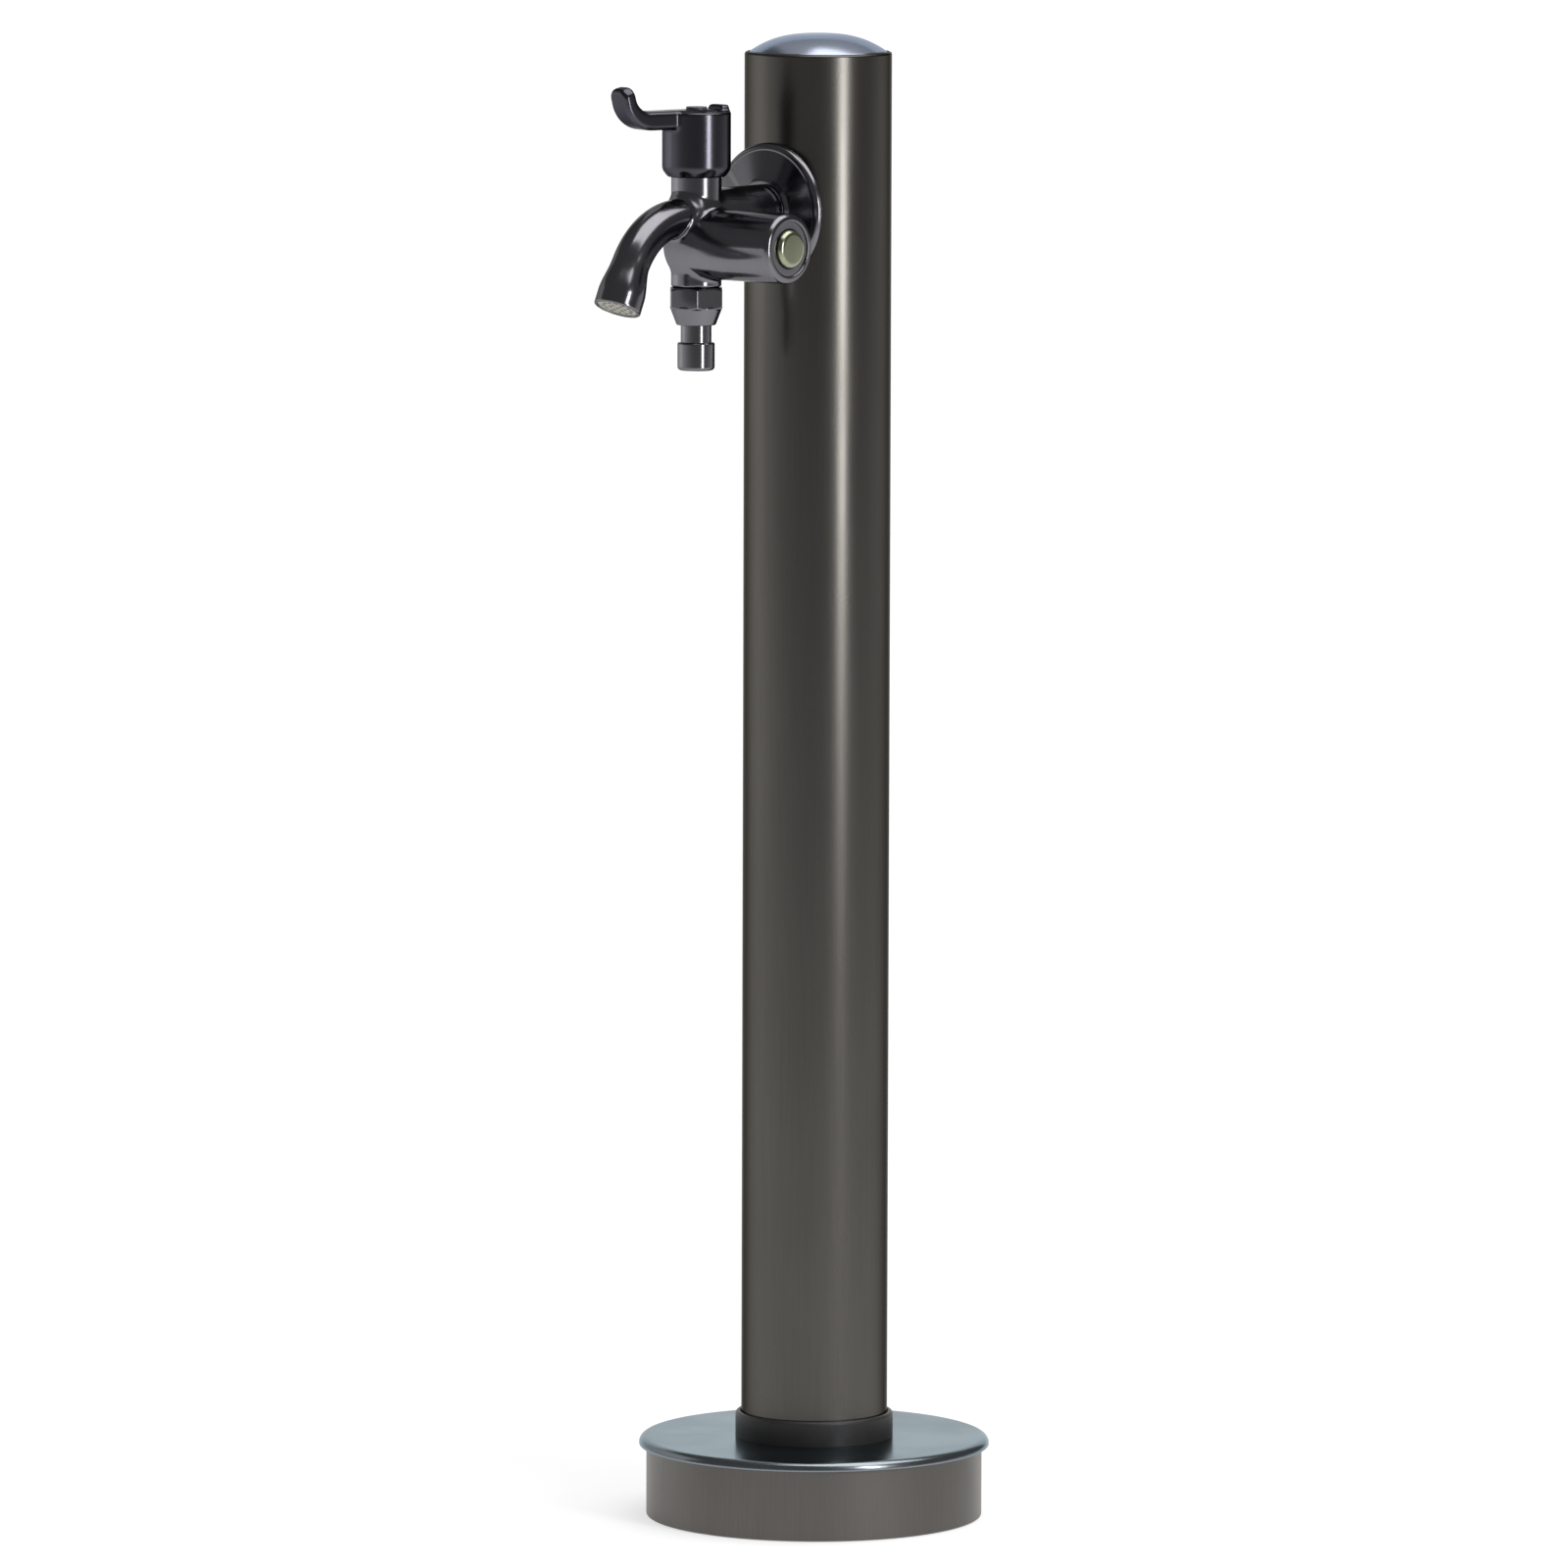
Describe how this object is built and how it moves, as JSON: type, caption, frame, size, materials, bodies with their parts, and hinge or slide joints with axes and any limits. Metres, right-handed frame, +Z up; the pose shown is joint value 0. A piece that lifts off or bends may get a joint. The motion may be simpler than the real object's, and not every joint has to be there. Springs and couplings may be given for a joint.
{
  "type": "garden standpipe",
  "caption": "Round steel standpipe on a covered base, with a quarter-turn lever tap, a curved spout and a side selector that sends water to a hose nipple instead.",
  "frame": {"origin": "on the ground under the column, at the centre of the anchor holes in the base plate", "axes": "+Z up along the column, the spout points along -Y, the selector barrel points along +X"},
  "size_m": [0.1524, 0.2175, 0.645],
  "materials": {
    "column_steel": "dark brushed",
    "cap_steel": "polished",
    "drum_steel": "satin",
    "lid_steel": "polished",
    "plate_steel": "mill finish",
    "screw_steel": "plain",
    "tap_chrome": "polished, dark",
    "handle_metal": "satin gun-metal",
    "knob_chrome": "polished",
    "brass": "machined",
    "black_rubber": "matt",
    "white_plastic": "matt",
    "grey_plastic": "matt",
    "ceramic": "lapped"
  },
  "bodies": {
    "standpipe": {"base_plate": "plate_steel", "foot_screws": "screw_steel", "supply_socket": "brass", "socket_screws": "screw_steel", "column_tube": "column_steel", "cap_ring": "black_rubber", "column_cap": "cap_steel", "riser_pipe": "plate_steel", "riser_rings": "black_rubber", "riser_spacer": "grey_plastic", "tap_elbow": "brass", "elbow_packing": "black_rubber", "wall_bush": "white_plastic", "inlet_nipple": "brass", "wall_flange": "tap_chrome", "tap_body": "tap_chrome", "spout": "tap_chrome", "outlet_insert": "white_plastic", "cartridge_body": "brass", "cartridge_seal": "black_rubber", "fixed_disc": "ceramic", "stem_ring": "black_rubber", "selector_gland": "brass", "selector_ring": "black_rubber", "union_nut": "tap_chrome", "nipple_washer": "black_rubber", "hose_nipple": "tap_chrome"},
    "handle": {"lever_handle": "handle_metal", "handle_screw": "screw_steel", "index_disc": "grey_plastic", "cartridge_stem": "brass", "moving_disc": "ceramic"},
    "selector": {"selector_vane": "brass", "selector_knob": "knob_chrome"},
    "base_cover": {"base_drum": "drum_steel", "base_lid": "lid_steel", "foot_collar": "black_rubber"}
  },
  "joints": [
    {"name": "handle_turn", "type": "hinge", "parent": "standpipe", "child": "handle", "pos_m": [0, -0.0805, 0.6], "axis": [0, 0, 1], "range_deg": [0, 90]},
    {"name": "selector_turn", "type": "hinge", "parent": "standpipe", "child": "selector", "pos_m": [0.05, -0.0805, 0.5588], "axis": [-1, 0, 0], "range_deg": [0, 90]},
    {"name": "cover_lift", "type": "slide", "parent": "standpipe", "child": "base_cover", "axis": [0, 0, 1], "range_m": [0, 0.4]}
  ]
}
